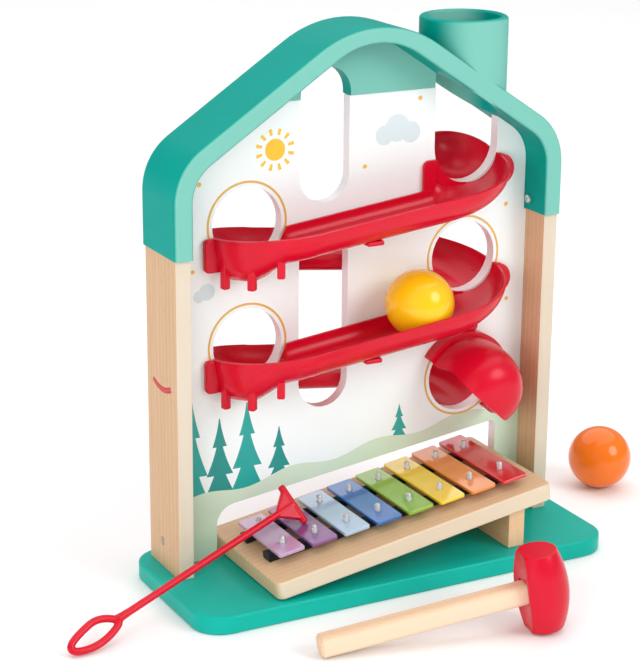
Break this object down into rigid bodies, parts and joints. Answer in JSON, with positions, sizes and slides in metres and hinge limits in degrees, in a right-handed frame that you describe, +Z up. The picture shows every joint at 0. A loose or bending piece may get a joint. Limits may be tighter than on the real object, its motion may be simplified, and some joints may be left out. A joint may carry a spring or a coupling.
{
  "type": "xylophone ball run",
  "caption": "House-shaped wooden ball-run toy: a chimney feeds channels on both sides of a panel, and the ball drops onto a sloped metal xylophone; balls, mallet and rake are loose.",
  "frame": {"origin": "on the floor, midway between the posts, below the front face of the play panel", "axes": "+X to the right seen from the front, +Y to the back, +Z up"},
  "size_m": [0.467, 0.2407, 0.3546],
  "materials": {
    "teal_paint": "satin teal lacquer on board",
    "teal_plastic": "satin moulded",
    "red_plastic": "gloss moulded",
    "panel_print": "white lacquer with print",
    "beech": "clear matt lacquer",
    "pale_wood": "clear matt lacquer",
    "black_felt": "felt",
    "zinc_steel": "zinc plated",
    "yellow_paint": "gloss lacquer",
    "orange_paint": "gloss lacquer",
    "bar_lilac_enamel": "gloss enamel",
    "bar_purple_enamel": "gloss enamel",
    "bar_pale_blue_enamel": "gloss enamel",
    "bar_blue_enamel": "gloss enamel",
    "bar_green_enamel": "gloss enamel",
    "bar_yellow_enamel": "gloss enamel",
    "bar_orange_enamel": "gloss enamel",
    "bar_red_enamel": "gloss enamel"
  },
  "bodies": {
    "house": {"bar_blue": "bar_blue_enamel", "bar_blue_pin_front": "zinc_steel", "bar_blue_pin_rear": "zinc_steel", "bar_green": "bar_green_enamel", "bar_green_pin_front": "zinc_steel", "bar_green_pin_rear": "zinc_steel", "bar_lilac": "bar_lilac_enamel", "bar_lilac_pin_front": "zinc_steel", "bar_lilac_pin_rear": "zinc_steel", "bar_orange": "bar_orange_enamel", "bar_orange_pin_front": "zinc_steel", "bar_orange_pin_rear": "zinc_steel", "bar_pale_blue": "bar_pale_blue_enamel", "bar_pale_blue_pin_front": "zinc_steel", "bar_pale_blue_pin_rear": "zinc_steel", "bar_purple": "bar_purple_enamel", "bar_purple_pin_front": "zinc_steel", "bar_purple_pin_rear": "zinc_steel", "bar_red": "bar_red_enamel", "bar_red_pin_front": "zinc_steel", "bar_red_pin_rear": "zinc_steel", "bar_yellow": "bar_yellow_enamel", "bar_yellow_pin_front": "zinc_steel", "bar_yellow_pin_rear": "zinc_steel", "base_board": "teal_paint", "block_screw_front": "zinc_steel", "block_screw_rear": "zinc_steel", "catch_bowl": "red_plastic", "exit_hood": "red_plastic", "front_felt_strip": "black_felt", "left_panel_screw": "zinc_steel", "left_post": "beech", "left_post_screw_front": "zinc_steel", "left_post_screw_rear": "zinc_steel", "left_roof_screw": "zinc_steel", "lower_front_track": "red_plastic", "lower_rear_track": "red_plastic", "play_panel": "panel_print", "post_inlay": "red_plastic", "rear_felt_strip": "black_felt", "right_panel_screw": "zinc_steel", "right_post": "beech", "right_post_screw_front": "zinc_steel", "right_post_screw_rear": "zinc_steel", "right_roof_screw": "zinc_steel", "roof_arch": "teal_plastic", "support_block": "pale_wood", "upper_front_track": "red_plastic", "upper_rear_track": "red_plastic", "xylophone_board": "pale_wood"},
    "yellow_ball": {"yellow_ball": "yellow_paint"},
    "orange_ball": {"orange_ball": "orange_paint"},
    "mallet": {"mallet_handle": "beech", "mallet_head": "red_plastic"},
    "rake": {"rake_stick": "red_plastic"}
  },
  "joints": [
    {"name": "yellow_ball_roll", "type": "slide", "parent": "house", "child": "yellow_ball", "axis": [-0.9929, 0, -0.1191], "range_m": [-0.015, 0.075]},
    {"name": "orange_ball_roll", "type": "slide", "parent": "house", "child": "orange_ball", "axis": [1, 0, 0], "range_m": [0, 0.1]},
    {"name": "mallet_lift", "type": "slide", "parent": "house", "child": "mallet", "axis": [0, -0.6, 0.8], "range_m": [0, 0.15]},
    {"name": "rake_lift", "type": "slide", "parent": "house", "child": "rake", "axis": [0, -0.7001, 0.7141], "range_m": [0, 0.15]}
  ]
}
